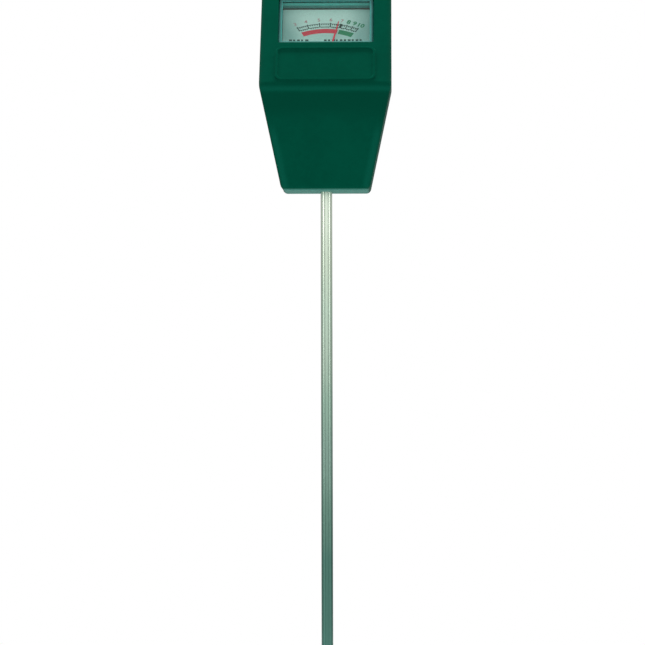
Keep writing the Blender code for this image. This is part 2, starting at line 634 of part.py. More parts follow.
def probe_fixings():
    """The metal collar that grips the tube above its boss, and the nut and tag on the core rod."""
    low, high = 0.0123, 0.0165
    collar = [(0.0046, high), (0.0046, low), (TUBE_RADIUS + GAP, low), (TUBE_RADIUS + GAP, high)]
    body = turned("probe_collar", collar, STEEL, steps=28)
    middle = (low + high) / 2
    cut(body, along_y("screw_hole", 0.0010, 0, 0.010, 14), location=(0, 0, middle))
    slotted_screw("collar_screw", 0.0016, 0.0011, 0.00080, 0.0021, location=(0, 0.0049, middle),
                  rotation=(math.radians(-90), 0, 0))
    lug = add("rod_lug", rod("rod_lug", 0.0022, 0.0202, 0.0207, segments=20), BRASS)
    join(lug, box("tag", (-0.0009, -0.0058, 0.0202), (0.0009, -0.0015, 0.0207)))
    cut(lug, rod("rod_hole", 0.00095, 0.01, 0.03, segments=16))
    nut = add("rod_nut", rod("rod_nut", 0.0022, 0.0210, 0.0226, segments=6), BRASS)
    cut(nut, rod("thread", 0.00095, 0.01, 0.03, segments=16))


def face_to_world(x, y, z):
    turn = Matrix.Rotation(SLOPE, 4, "X")
    return Vector((0, RIDGE_Y, RIDGE_HEIGHT)) + turn @ Vector((x, y, z))


def smooth_route(points, count):
    """Points on a Catmull-Rom curve through the route's own points."""
    held = [points[0], *points, points[-1]]
    made = []
    for k in range(count + 1):
        place = k / count * (len(points) - 1)
        i = min(int(place), len(points) - 2)
        t = place - i
        a, b, c, d = (Vector(p) for p in held[i:i + 4])
        made.append(0.5 * (2 * b + (c - a) * t + (2 * a - 5 * b + 4 * c - d) * t ** 2
                           + (3 * b - a - 3 * c + d) * t ** 3))
    return made


def leads():
    """Two insulated wires from the probe to the meter's terminals."""
    left, right = (face_to_world(side * TERMINAL_X, TERMINAL_Y, -0.0133) for side in (-1, 1))
    left_in, right_in = (face_to_world(side * TERMINAL_X, TERMINAL_Y, -0.0170) for side in (-1, 1))
    rod_route = [(0, -0.0065, 0.0205), (-0.0030, -0.0088, 0.0208), (-0.0095, -0.0088, 0.0235),
                 (-0.0150, -0.0080, 0.0300), left_in, left]
    tube_route = [(0.0036, 0, 0.0174), (0.0042, -0.0010, 0.0200), (0.0085, -0.0040, 0.0225),
                  (0.0145, -0.0070, 0.0290), right_in, right]
    wire("rod_lead", smooth_route(rod_route, 26), LEAD_RADIUS, RED_PVC)
    wire("tube_lead", smooth_route(tube_route, 26), LEAD_RADIUS, BLACK_PVC)


front_housing()
rear_cover()
cover_screws()
meter_cover()
dial_plate()
meter_frame()
meter_fasteners()
yoke_ring()
magnet_core()
upper_bridge()
jewel_screws()
zero_adjuster()
hairspring("upper_hairspring", -0.00605, 3, 0.0033, math.pi)
hairspring("lower_hairspring", -0.0182, 3, 0.0034, 0.0, tail=0.0040)
moving_coil()
pointer_hub()
pointer()
probe()
probe_fixings()
leads()
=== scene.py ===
import json
import math

import bmesh
import bpy
from mathutils import Matrix, Vector


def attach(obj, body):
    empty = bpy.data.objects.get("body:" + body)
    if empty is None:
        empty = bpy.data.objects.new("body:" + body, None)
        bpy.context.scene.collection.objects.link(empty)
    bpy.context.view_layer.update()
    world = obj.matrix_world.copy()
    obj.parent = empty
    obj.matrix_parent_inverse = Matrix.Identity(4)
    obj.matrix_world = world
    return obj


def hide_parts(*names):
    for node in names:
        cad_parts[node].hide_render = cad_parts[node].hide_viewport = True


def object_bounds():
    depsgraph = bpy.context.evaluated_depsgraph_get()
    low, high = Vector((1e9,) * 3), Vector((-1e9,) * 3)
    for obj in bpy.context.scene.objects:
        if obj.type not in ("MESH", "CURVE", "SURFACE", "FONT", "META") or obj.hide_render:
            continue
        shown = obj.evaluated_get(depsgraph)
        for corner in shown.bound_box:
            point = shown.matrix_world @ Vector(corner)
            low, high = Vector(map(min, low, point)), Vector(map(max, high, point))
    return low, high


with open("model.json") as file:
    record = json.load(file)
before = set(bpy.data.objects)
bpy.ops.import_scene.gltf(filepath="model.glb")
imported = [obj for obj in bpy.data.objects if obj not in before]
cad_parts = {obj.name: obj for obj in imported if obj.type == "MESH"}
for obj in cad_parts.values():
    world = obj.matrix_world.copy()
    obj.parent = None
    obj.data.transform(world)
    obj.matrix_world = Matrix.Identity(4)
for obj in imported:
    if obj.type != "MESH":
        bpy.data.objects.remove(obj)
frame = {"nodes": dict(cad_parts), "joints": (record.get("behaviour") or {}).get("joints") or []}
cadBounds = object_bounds()
print("frame loaded:", len(frame["nodes"]), "nodes")

# the case, in metres: x across, -y the front, z up from its underside
case = {
    "topHalf": 0.0265, "footHalf": 0.0177, "height": 0.083, "ridge": 0.04166,
    "footFront": -0.0190, "ridgeFront": -0.02824, "parting": 0.0170, "back": 0.0190, "gap": 0.0003,
    "slope": math.radians(45), "wall": 0.0020, "hollowBack": 0.0210,
    "ridgeRadius": 0.0040, "edgeRadius": 0.0027, "footSide": 0.0021, "footFrontRound": 0.0011,
    "topRound": 0.0014, "widthSoft": 0.0016, "backRound": 0.0011, "backBend": 0.0060,
    "slopeStretch": 0.41, "slopeSoft": 0.0010, "closestRings": 0.00004,
}
caseTaper = (case["topHalf"] - case["footHalf"]) / case["ridge"]
swing = next(joint for joint in frame["joints"] if joint["name"] == "pointer_swing")
pivot = Vector(swing["pos_m"])
slopeTurn = Matrix.Rotation(case["slope"], 4, "X")
faceFrame = Matrix.Translation((0, case["ridgeFront"], case["ridge"])) @ slopeTurn
pivotUp = (faceFrame.inverted() @ pivot).y
dialFront = -0.0050  # depth of the scale's face behind the case's sloping face
restAngle = math.radians(10.5)


class Wire:  # an output socket; sums on it add Math nodes
    def __init__(self, tree, socket=None):
        self.tree = tree
        self.socket = socket

    def node(self, kind, settings=None, inputs=None, output=0):
        made = self.tree.nodes.new(kind)
        for name, value in (settings or {}).items():
            if name == "stops":
                setStops(made.color_ramp, value)
            else:
                setattr(made, name, value)
        for key, value in (inputs or {}).items():
            if isinstance(value, Wire):
                self.tree.links.new(value.socket, made.inputs[key])
            else:
                made.inputs[key].default_value = value
        return Wire(self.tree, made.outputs[output])

    def sum(self, operation, first, second):
        return self.node("ShaderNodeMath", {"operation": operation}, {0: first, 1: second})

    def __add__(self, value):
        return self.sum("ADD", self, value)

    def __radd__(self, value):
        return self.sum("ADD", value, self)

    def __sub__(self, value):
        return self.sum("SUBTRACT", self, value)

    def __rsub__(self, value):
        return self.sum("SUBTRACT", value, self)

    def __mul__(self, value):
        return self.sum("MULTIPLY", self, value)

    def __rmul__(self, value):
        return self.sum("MULTIPLY", value, self)

    def __truediv__(self, value):
        return self.sum("DIVIDE", self, value)


def setStops(ramp, stops):
    while len(ramp.elements) < len(stops):
        ramp.elements.new(0.5)
    for element, (place, colour) in zip(ramp.elements, stops):
        element.position = place
        element.color = (*colour, 1.0)


def newFinish(name, fixed):
    made = bpy.data.materials.new(name)
    made.use_nodes = True
    shader = made.node_tree.nodes["Principled BSDF"]
    for key, value in fixed.items():
        shader.inputs[key].default_value = value
    at = Wire(made.node_tree).node("ShaderNodeTexCoord", output="Object")
    return made, shader, at


def drive(shader, wires):
    for key, wire in wires.items():
        wire.tree.links.new(wire.socket, shader.inputs[key])


def noise(at, scale, detail=2.0, stretch=None):
    if stretch:
        at = at.node("ShaderNodeVectorMath", {"operation": "MULTIPLY"}, {0: at, 1: stretch})
    return at.node("ShaderNodeTexNoise", {}, {"Vector": at, "Scale": scale, "Detail": detail}, "Fac")


def spread(wire, low, high, toLow=0.0, toHigh=1.0):
    return wire.node("ShaderNodeMapRange", {"interpolation_type": "SMOOTHSTEP"},
                     {"Value": wire, "From Min": low, "From Max": high, "To Min": toLow, "To Max": toHigh})


def fading(wire, low, high):
    return spread(wire, low, high, 1.0, 0.0)


def axis(at, letter):
    return at.node("ShaderNodeSeparateXYZ", {}, {0: at}, letter)


def unsigned(wire):
    return wire.node("ShaderNodeMath", {"operation": "ABSOLUTE"}, {0: wire})


def mixed(share, first, second):
    return share.node("ShaderNodeMix", {"data_type": "RGBA"}, {0: share, 6: first, 7: second}, 2)


def bumped(height, strength, distance):
    return height.node("ShaderNodeBump", {}, {"Height": height, "Strength": strength, "Distance": distance},
                       "Normal")


def tone(colour, share=1.0):
    return (*(min(part * share, 1.0) for part in colour), 1.0)


wearAndPaintedLight = {  # where each band of painted highlight, painted shade and painted reflection starts and ends, in metres, and how strongly it shows
    "edgeIn": (0.0002, 0.0012), "edgeOut": (0.0018, 0.0042), "edgeTop": (0.020, 0.028),
    "edgeFoot": (0.0005, 0.0020), "edgeShare": 0.85,
    "ridgeFront": (-0.0262, -0.0250), "ridgeLow": (0.0388, 0.0402), "ridgeHigh": (0.0404, 0.0420),
    "ridgeShare": 0.9, "paintedShadeLow": (0.0260, 0.0340), "paintedShadeHigh": (0.0380, 0.0396), "paintedShadeShare": 0.9,
    "under": (0.0002, 0.0009),
}


def caseWear(at, colour, look):
    # painted highlight just inside the tapering edges and along the ridge, painted shade under the ridge,
    # painted reflection on the underside
    height = axis(at, "Z")
    inset = height * caseTaper + case["footHalf"] - unsigned(axis(at, "X"))
    edge = spread(inset, *wearAndPaintedLight["edgeIn"]) * fading(inset, *wearAndPaintedLight["edgeOut"])
    edge = edge * fading(height, *wearAndPaintedLight["edgeTop"]) * spread(height, *wearAndPaintedLight["edgeFoot"])
    front = fading(axis(at, "Y"), *wearAndPaintedLight["ridgeFront"])
    ridge = spread(height, *wearAndPaintedLight["ridgeLow"]) * fading(height, *wearAndPaintedLight["ridgeHigh"]) * front
    # darker just under the ridge: painted shade
    paintedShade = spread(height, *wearAndPaintedLight["paintedShadeLow"]) * fading(height, *wearAndPaintedLight["paintedShadeHigh"])
    colour = mixed(paintedShade * wearAndPaintedLight["paintedShadeShare"], colour, tone(look["paintedShade"]))
    # lighter just inside the edges and along the ridge: painted highlight
    paintedHighlight = edge * wearAndPaintedLight["edgeShare"] + ridge * wearAndPaintedLight["ridgeShare"]
    colour = mixed(paintedHighlight, colour, tone(look["paintedHighlight"]))
    # pale on the underside: painted reflection
    return mixed(fading(height, *wearAndPaintedLight["under"]), colour, tone(look["paintedReflection"]))


def mouldedFinish(name, look):
    # broad unevenness, small mottling and a fine spark-eroded grain
    made, shader, at = newFinish(name, look["fixed"])
    broad = noise(at, look["broad"], 2.0)
    mottle = noise(at, look["mottle"], 3.0)
    grain = noise(at, look["grain"], 2.0)
    uneven = spread(broad * 0.65 + mottle * 0.35, 0.33, 0.67)
    colour = mixed(uneven, tone(look["colour"], 1 - look["vary"]), tone(look["colour"], 1 + look["vary"]))
    # only the case gets painted highlight, painted shade and painted reflection
    if "paintedHighlight" in look:
        colour = caseWear(at, colour, look)
    rough = look["rough"] + (mottle - 0.5) * look["roughVary"]
    drive(shader, {"Base Color": colour, "Roughness": rough,
                   "Normal": bumped(grain + mottle * 1.5, look["bump"], look["depth"])})
    return made


def metalFinish(name, look):
    # drawn or turned metal: streaks along one way, and dull patches
    made, shader, at = newFinish(name, {"Metallic": 1.0})
    streak = noise(at, look["scale"], 3.0, look["stretch"])
    patch = noise(at, look["patch"], 3.0)
    dull = spread(patch, *look["patchSpread"])
    colour = mixed(dull, tone(look["colour"]), tone(look["dull"]))
    rough = look["rough"] + (streak - 0.5) * look["roughVary"] + dull * look["dullRough"]
    drive(shader, {"Base Color": colour, "Roughness": rough,
                   "Normal": bumped(streak, look["bump"], look["depth"])})
    return made


finishes = {}
casePlastic = {
    "colour": (0.0006, 0.0675, 0.0395), "vary": 0.07, "broad": 55, "mottle": 420, "grain": 2600,
    "rough": 0.42, "roughVary": 0.16, "bump": 0.25, "depth": 0.00003,
    # painted light: a lighter colour for the painted highlight on edges and ridge, a darker one for painted
    # shade under the ridge, a pale one for painted reflection underneath
    "paintedHighlight": (0.0022, 0.0900, 0.0560), "paintedShade": (0.0006, 0.0570, 0.0330), "paintedReflection": (0.050, 0.190, 0.155),
    "fixed": {"Specular IOR Level": 0.012, "Specular Tint": (0.02, 0.75, 0.62, 1.0)},
}
finishes["green_plastic"] = mouldedFinish("greenPlastic", casePlastic)

innerPlastic = {
    "colour": (0.0125, 0.0125, 0.0135), "vary": 0.15, "broad": 90, "mottle": 700, "grain": 3000,
    "rough": 0.50, "roughVary": 0.14, "bump": 0.2, "depth": 0.00003, "fixed": {},
}
plastics = {  # what each one changes from the inner plastic
    "black_plastic": ("blackPlastic", {}),
    "white_nylon": ("whiteNylon", {"colour": (0.70, 0.70, 0.655), "vary": 0.05, "rough": 0.42,
                                   "fixed": {"Subsurface Weight": 0.08}}),
    "red_pvc": ("redLead", {"colour": (0.46, 0.016, 0.014), "vary": 0.08, "rough": 0.34}),
    "black_pvc": ("blackLead", {"rough": 0.34}),
}
for slotName, (name, change) in plastics.items():
    finishes[slotName] = mouldedFinish(name, {**innerPlastic, **change})

drawnMetal = {
    "colour": (0.60, 0.61, 0.59), "dull": (0.42, 0.43, 0.42), "rough": 0.26, "scale": 900, "patch": 160,
    "stretch": (1, 1, 0.06), "bump": 0.15, "depth": 0.00002,
    "roughVary": 0.16, "dullRough": 0.12, "patchSpread": (0.42, 0.70),
}
metals = {  # what each one changes from the drawn metal
    "plated_steel": ("platedSteel", {}),
    "steel": ("polishedSteel", {"rough": 0.18}),
    "dark_steel": ("blackenedSteel", {"colour": (0.17, 0.17, 0.18), "dull": (0.09, 0.085, 0.08),
                                      "rough": 0.36}),
    "brass": ("brass", {"colour": (0.72, 0.50, 0.20), "dull": (0.46, 0.31, 0.13), "rough": 0.27,
                        "stretch": (1, 0.3, 1)}),
    "alloy": ("castAlloy", {"colour": (0.70, 0.71, 0.71), "dull": (0.50, 0.51, 0.50), "rough": 0.34}),
    "copper_wire": ("enamelledCopper", {"colour": (0.60, 0.22, 0.085), "dull": (0.42, 0.13, 0.05),
                                        "rough": 0.30, "scale": 5200, "stretch": (0.1, 0.1, 1)}),
}
for slotName, (name, change) in metals.items():
    finishes[slotName] = metalFinish(name, {**drawnMetal, **change})

probeMetal = {
    "paintedReflectionFade": (  # height up the probe, and the colour of the painted reflection and painted shade there
        (-0.011, (0.79, 0.90, 0.75)), (-0.028, (0.64, 0.76, 0.61)), (-0.046, (0.53, 0.68, 0.55)),
        (-0.066, (0.45, 0.58, 0.47)), (-0.086, (0.30, 0.455, 0.36)), (-0.106, (0.235, 0.37, 0.305)),
        (-0.127, (0.14, 0.260, 0.205)), (-0.148, (0.075, 0.180, 0.145)), (-0.208, (0.055, 0.145, 0.120)),
    ),
    "reach": 0.21, "wander": 0.014, "streak": 1500, "streakStretch": (1, 1, 0.012),
    "blotch": 240, "blotchStretch": (1, 1, 0.35), "worn": (0.10, 0.17, 0.14), "wornSpread": (0.40, 0.75),
    "wearAndPaintedLight": 0.14, "rough": 0.25, "roughVary": 0.18, "roughDown": 0.08, "bump": 0.20, "depth": 0.00003,
}


def probeTubeFinish():
    # plating with a painted reflection that is bright under the case and fades into darker, greener painted
    # shade further down
    look = probeMetal
    made, shader, at = newFinish("platingWithPaintedReflection", {"Metallic": 1.0})
    streak = noise(at, look["streak"], 3.0, look["streakStretch"])
    blotch = noise(at, look["blotch"], 3.0, look["blotchStretch"])
    reach = (axis(at, "Z") * -1.0 + (blotch - 0.5) * look["wander"]) / look["reach"]
    stops = [(-height / look["reach"], colour) for height, colour in look["paintedReflectionFade"]]
    # bright painted reflection near the case, fading to painted shade towards the tip
    colour = at.node("ShaderNodeValToRGB", {"stops": stops}, {"Fac": reach})
    worn = mixed(spread(streak, *look["wornSpread"], 0.0, look["wearAndPaintedLight"]), colour, tone(look["worn"]))
    rough = look["rough"] + (streak - 0.5) * look["roughVary"] + reach * look["roughDown"]
    drive(shader, {"Base Color": worn, "Roughness": rough,
                   "Normal": bumped(streak + blotch * 0.4, look["bump"], look["depth"])})
    return made


dialCardLook = {
    # the edge colour is painted shade, for the dial's sides and low end
    "colour": (0.53, 0.83, 0.745), "edge": (0.25, 0.51, 0.465), "speck": (0.16, 0.24, 0.2),
    "offCentre": 0.0006, "sides": (0.007, 0.018), "sideShare": 0.8, "cloudShare": 0.25, "level": 0.12,
    "low": (0.060, 0.072), "lowShare": 0.50, "rough": 0.55, "roughVary": 0.2, "bump": 0.12, "depth": 0.00002,
}


def dialCardFinish():
    # satin lacquer, with painted shade out at the sides and at the low end
    look = dialCardLook
    made, shader, at = newFinish("dialLacquer", {"Specular IOR Level": 0.3})
    # painted shade out at the sides
    side = spread(unsigned(axis(at, "X") + look["offCentre"]), *look["sides"])
    speck = noise(at, 1900, 3.0)
    cloud = noise(at, 130, 2.0)
    # painted shade at the low end
    low = spread(axis(at, "Z"), *look["low"], look["lowShare"], 0.0)
    darker = side * look["sideShare"] + cloud * look["cloudShare"] + low - look["level"]
    colour = mixed(darker, tone(look["colour"]), tone(look["edge"]))
    drive(shader, {"Base Color": mixed(spread(speck, 0.35, 0.75, 0.0, 0.14), colour, tone(look["speck"])),
                   "Roughness": look["rough"] + (speck - 0.5) * look["roughVary"],
                   "Normal": bumped(speck, look["bump"], look["depth"])})
    return made


lens = {
    "half": 0.0200, "low": 0.0033, "high": 0.0553, "radius": 0.0008, "wall": 0.0010, "back": -0.0060,
    "shoulder": -0.0023, "front": -0.0008, "edge": 0.00035, "ease": 0.0002, "dish": (0.00018, 0.00012),
    "windowHalf": 0.0190, "windowLow": 0.0266, "windowHigh": 0.0538, "windowRadius": 0.0006,
    "shine": 0.15, "paneAlpha": 0.04, "rimAlpha": 0.85, "wallAlpha": 0.90,
}


def lensFinish(name, colour, alpha, rough):
    made, shader, at = newFinish(name, {"Alpha": alpha, "Specular IOR Level": lens["shine"]})
    haze = noise(at, 210, 3.0)
    scuff = noise(at, 1300, 2.0, (1, 0.15, 0.15))
    drive(shader, {"Base Color": mixed(haze, tone(colour, 0.85), tone(colour, 1.15)),
                   "Roughness": rough + (scuff - 0.5) * 0.10, "Normal": bumped(haze, 0.05, 0.00004)})
    return made


def inkFinish(name, colour):
    made, shader, at = newFinish(name, {"Specular IOR Level": 0.2})
    speck = noise(at, 2600, 2.0)
    drive(shader, {"Base Color": mixed(speck, tone(colour, 0.8), tone(colour, 1.2)),
                   "Roughness": 0.5 + (speck - 0.5) * 0.2})
    return made


finishes["probe"] = probeTubeFinish()
finishes["dial_white"] = dialCardFinish()
finishes["pane"] = lensFinish("clearPane", (0.55, 0.68, 0.60), lens["paneAlpha"], 0.10)
# the rim finish is dark: a painted reflection of the inner wall along the box's front edge
finishes["rim"] = lensFinish("clearRimPaintedReflection", (0.07, 0.235, 0.215), lens["rimAlpha"], 0.22)
finishes["clear_plastic"] = lensFinish("clearWall", (0.08, 0.50, 0.44), lens["wallAlpha"], 0.18)
inks = {
    "red_paint": ("needleRed", (0.62, 0.012, 0.050)),
    "blackInk": ("blackInk", (0.006, 0.035, 0.030)),
    "redInk": ("redInk", (0.60, 0.022, 0.055)),
    "paleInk": ("paleRedInk", (0.42, 0.25, 0.26)),
    "greenInk": ("greenInk", (0.0, 0.230, 0.095)),
}
for slotName, (name, colour) in inks.items():
    finishes[slotName] = inkFinish(name, colour)
print("finishes made:", len(finishes))

for node in frame["nodes"].values():
    for use in node.material_slots:
        slotName = use.material.name.split(".")[0]  # without the .001 of a repeated name
        if slotName in finishes:
            use.material = finishes[slotName]


def arc(corner, before, after, radius, steps):
    # points of a circle that touches both sides of a corner
    u, v = (before - corner), (after - corner)
    reach = min(u.length, v.length) * 0.49
    u, v = u.normalized(), v.normalized()
    turn = math.pi - u.angle(v)
    if turn < 0.02 or radius <= 0:
        return [corner]
    tangent = min(radius * math.tan(turn / 2), reach)
    radius = tangent / math.tan(turn / 2)
    centre = corner + (u + v).normalized() * (radius / math.cos(turn / 2))
    a, b = corner + u * tangent - centre, corner + v * tangent - centre
    count = max(2, round(steps * turn / (math.pi / 2)))
    return [centre + (a * math.sin((1 - k / count) * turn) + b * math.sin(k / count * turn)) / math.sin(turn)
            for k in range(count + 1)]


def softened(points, steps=6):
    # an open profile of (x, y, radius), each inner corner rounded by its radius
    made = [Vector(points[0][:2])]
    for before, here, after in zip(points, points[1:], points[2:]):
        made += arc(Vector(here[:2]), Vector(before[:2]), Vector(after[:2]), here[2], steps)
    return made + [Vector(points[-1][:2])]


def roundRect(half, low, high, radius, grow=0.0, steps=5):
    half, low, high, radius = half + grow, low - grow, high + grow, max(radius + grow, 0.00005)
    points = []
    for x, y, start in ((half, high, 0), (-half, high, 90), (-half, low, 180), (half, low, 270)):
        cx = x - math.copysign(radius, x)
        cy = y - (radius if y == high else -radius)
        for k in range(steps + 1):
            turn = math.radians(start + 90 * k / steps)
            points.append((cx + radius * math.cos(turn), cy + radius * math.sin(turn)))
    return points


def quarter(radius, step=15):
    # how far in and how far down a rounded edge is, from its side to its top
    turns = [math.radians(a) for a in range(0, 91, step)]
    return [(radius * (1 - math.cos(turn)), radius * (1 - math.sin(turn))) for turn in turns]


def joinRings(bm, low, high, use=0):
    for k in range(len(low)):
        n = (k + 1) % len(low)
        bm.faces.new((low[k], low[n], high[n], high[k])).material_index = use


def skinned(bm, rings):
    # adds a closed solid over rings of equal length
    rows = [[bm.verts.new(point) for point in ring] for ring in rings]
    for low, high in zip(rows, rows[1:]):
        joinRings(bm, low, high)
    bm.faces.new(rows[0][::-1])
    bm.faces.new(rows[-1])


def stack(*solids):
    bm = bmesh.new()
    for rings in solids:
        skinned(bm, rings)
    bmesh.ops.recalc_face_normals(bm, faces=bm.faces)
    return bm


def turned(profile, segments=64, closed=False):
    # a lathe solid about z from (radius, height) points
    bm = bmesh.new()
    rows = []
    for radius, height in profile:
        if radius < 1e-7:
            rows.append([bm.verts.new((0, 0, height))])
        else:
            rows.append([bm.verts.new((radius * math.cos(math.tau * k / segments),
                                       radius * math.sin(math.tau * k / segments), height))
                         for k in range(segments)])
    for low, high in zip(rows, rows[1:] + rows[:1] if closed else rows[1:]):
        for k in range(segments):
            n = (k + 1) % segments
            corners = [low[k % len(low)], low[n % len(low)], high[n % len(high)], high[k % len(high)]]
            corners = list(dict.fromkeys(corners))
            if len(corners) > 2:
                bm.faces.new(corners)
    bmesh.ops.recalc_face_normals(bm, faces=bm.faces)
    return bm


def solid(bm, name, place=None):
    if place:
        bm.transform(place)
    mesh = bpy.data.meshes.new(name)
    bm.to_mesh(mesh)
    bm.free()
    made = bpy.data.objects.new(name, mesh)
    bpy.context.scene.collection.objects.link(made)
    return made


def carve(target, steps):
    # cuts away or joins on each (operation, bmesh), then keeps only the result
    tools = []
    for index, (operation, bm) in enumerate(steps):
        tools.append(solid(bm, f"{target.name}Tool{index}"))
        made = target.modifiers.new(f"step{index}", "BOOLEAN")
        made.operation, made.solver, made.object = operation, "MANIFOLD", tools[-1]
    shape = target.evaluated_get(bpy.context.evaluated_depsgraph_get())
    made = bpy.data.meshes.new_from_object(shape)
    target.modifiers.clear()
    target.data = made
    for tool in tools:
        bpy.data.objects.remove(tool)


def piece(made, body, paints, stands=(), sharp=32, flat=True):
    uses = [face.material_index for face in made.data.polygons]
    made.data.materials.clear()
    for paint in paints:
        made.data.materials.append(finishes[paint])
    if len(paints) > 1:  # clearing sets every face back to the first material
        made.data.polygons.foreach_set("material_index", uses)
    made.data.shade_smooth()
    made.data.set_sharp_from_angle(angle=math.radians(sharp))
    if flat:  # broad flat faces stay flat beside rounded edges
        weigh = made.modifiers.new("weighFaces", "WEIGHTED_NORMAL")
        weigh.keep_sharp = True
    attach(made, body)
    if stands:
        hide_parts(*stands)


def bar(radius, low, high, at=(0, 0), segments=28):
    bm = turned([(0, low), (radius, low), (radius, high), (0, high)], segments)
    bm.transform(Matrix.Translation((*at, 0)))
    return bm


def alongY(bm, x, z):
    bm.transform(Matrix.Translation((x, 0, z)) @ Matrix.Rotation(math.radians(-90), 4, "X"))
    return bm


def onFace(bm):
    bm.transform(faceFrame)
    return bm


def caseHalf(z):
    past, soft = z - case["ridge"], case["widthSoft"]
    if abs(past) < soft:
        return case["topHalf"] - caseTaper * (past - soft) ** 2 / (4 * soft)
    return case["topHalf"] if past > 0 else case["footHalf"] + caseTaper * z


topFront = case["ridgeFront"] + (case["height"] - case["ridge"]) / math.tan(case["slope"])
frontLine = softened([(0, case["footFront"]), (case["ridge"], case["ridgeFront"], case["ridgeRadius"]),
                      (case["height"], topFront)], steps=14)


def frontAt(z):
    for low, high in zip(frontLine, frontLine[1:]):
        if z <= high.x:
            return low.y + (high.y - low.y) * (z - low.x) / max(high.x - low.x, 1e-9)
    return frontLine[-1].y


def drawnIn(z, foot, top):
    # how far the foot and top roundings pull the outline in at this height
    down = max(0.0, 1 - z / case["footSide"])
    up = max(0.0, 1 - (case["height"] - z) / case["topRound"])
    return foot * (1 - math.sqrt(1 - down * down)) + top * (1 - math.sqrt(1 - up * up))


def caseRing(z, back):
    side = caseHalf(z) - drawnIn(z, case["footSide"], case["topRound"])
    front = frontAt(z) + drawnIn(z, case["footFrontRound"], case["topRound"] * 0.6)
    soft = case["slopeSoft"]
    sloping = min(max((z - case["ridge"] + soft) / (2 * soft), 0.0), 1.0)
    rx = case["edgeRadius"]
    ry = min(rx * (1 + case["slopeStretch"] * sloping), (back - front) * 0.8)
    ring = [(-side, back, z)]
    for start, x in ((180, rx - side), (270, side - rx)):
        for k in range(11):
            turn = math.radians(start + 9 * k)
            ring.append((x + rx * math.cos(turn), front + ry + ry * math.sin(turn), z))
    return ring + [(side, back, z)]


def caseHollow():
    # the inside of the case, one wall in from every outer face
    wall, back = case["wall"], case["hollowBack"]
    top = case["height"] - wall
    lean = (case["ridgeFront"] - case["footFront"]) / case["ridge"]
    low, high = wall * math.hypot(1, lean), wall / math.cos(case["slope"])
    bend = case["ridge"] + (high - low) / (lean - 1 / math.tan(case["slope"]))
    upper = case["ridgeFront"] + high + (top - case["ridge"]) / math.tan(case["slope"])
    lower = case["footFront"] + low
    rings = []
    for z, front in ((wall, lower + wall * lean), (bend, lower + bend * lean), (top, upper)):
        side = min(case["topHalf"], case["footHalf"] + caseTaper * z) - wall
        rings.append([(-side, back, z), (-side, front, z), (side, front, z), (side, back, z)])
    return stack(rings)


window = {"half": 0.0193, "low": 0.0263, "high": 0.0541, "radius": 0.0006, "lip": 0.00035,
          "inside": -0.0100, "outside": (0.00055, 0.0040)}
badge = {
    "half": 0.0201, "low": 0.0026, "high": 0.0228, "radius": 0.0028, "rim": 0.0011, "rise": 0.0006,
    "round": 0.00035, "field": 0.0001, "fieldRadius": 0.6, "outside": (0.0005, 0.0030),
    "flare": ((0.0007, -0.0010), (0.0007, -0.0001), (0.00025, 0.00005), (0.0, 0.0002)),  # spread of its foot
    "fieldFlare": ((-0.0003, 0.0), (-0.0001, 0.00008), (0.0, 0.0002)), "clear": 0.00001,
}
posts = {  # across, up, and where each one starts
    "places": ((0.0228, 0.0775, 0.0104), (0.0150, 0.0068, -0.0180)), "radius": 0.0025, "short": 0.0002,
    "pilot": 0.0011, "pilotDeep": 0.0070, "clearance": 0.0013, "well": 0.0025, "mouth": 0.0028,
    "wellDeep": 0.0010, "past": 0.0300,
}
boss = {"radius": 0.0052, "top": 0.0120, "hole": 0.00265}  # holds the probe in the underside
ears = {"across": 0.0224, "up": 0.0245, "radius": 0.0019, "deep": -0.0060, "hole": 0.00095,
        "holeTop": -0.0022}
rail = {"thick": 0.0012, "low": 0.0105, "high": 0.0735, "front": 0.0150, "back": 0.0180}


def postPlaces():
    for x, z, start in posts["places"]:
        for side in (-1, 1):
            yield side * x, z, start


def liftRings(shape, levels, steps=6):
    # one rounded rectangle per (growth, height), in the face's own frame
    half, low, high, radius = (shape[key] for key in ("half", "low", "high", "radius"))
    return [[(x, y, height) for x, y in roundRect(half, low, high, radius, grow, steps)]
            for grow, height in levels]


def caseHeights():
    # where the case's cross-sections stand, closest together where the outline bends
    steps, ridge, top = 8, case["ridge"], case["topRound"]
    turns = [math.radians(90 * k / steps) for k in range(steps + 1)]
    levels = [case["footSide"] * (1 - math.cos(turn)) for turn in turns]
    levels += [point.x for point in frontLine[1:-1]]
    levels += [ridge + case["widthSoft"] * k / 4 for k in range(-4, 5)]
    levels += [case["height"] - top + top * math.sin(turn) for turn in turns]
    kept = []
    for z in sorted(levels):
        if not kept or z - kept[-1] > case["closestRings"]:
            kept.append(z)
    return kept


def badgeCuts():
    # the raised panel, then the shallow field inside its rim
    rim, rise, clear = badge["rim"], badge["rise"], badge["clear"]
    edge = quarter(badge["round"])
    outer = list(badge["flare"])
    outer += [(-a, rise - b) for a, b in edge if rise - b > badge["flare"][-1][1] + clear]
    inner = [(grow, badge["field"] + height) for grow, height in badge["fieldFlare"]]
    inner += [(a, rise - b) for a, b in edge[:-1] if rise - b > inner[-1][1] + clear]
    inner.append(badge["outside"])
    field = {"half": badge["half"] - rim, "low": badge["low"] + rim, "high": badge["high"] - rim,
             "radius": badge["radius"] - rim * badge["fieldRadius"]}
    return [("UNION", onFace(stack(liftRings(badge, outer)))),
            ("DIFFERENCE", onFace(stack(liftRings(field, inner))))]


def windowCut():
    opening = [(0.0, window["inside"]), (0.0, -window["lip"])]
    opening += [(a, -b) for a, b in quarter(window["lip"])[1:-1]]
    opening.append(window["outside"])
    return ("DIFFERENCE", onFace(stack(liftRings(window, opening, 4))))


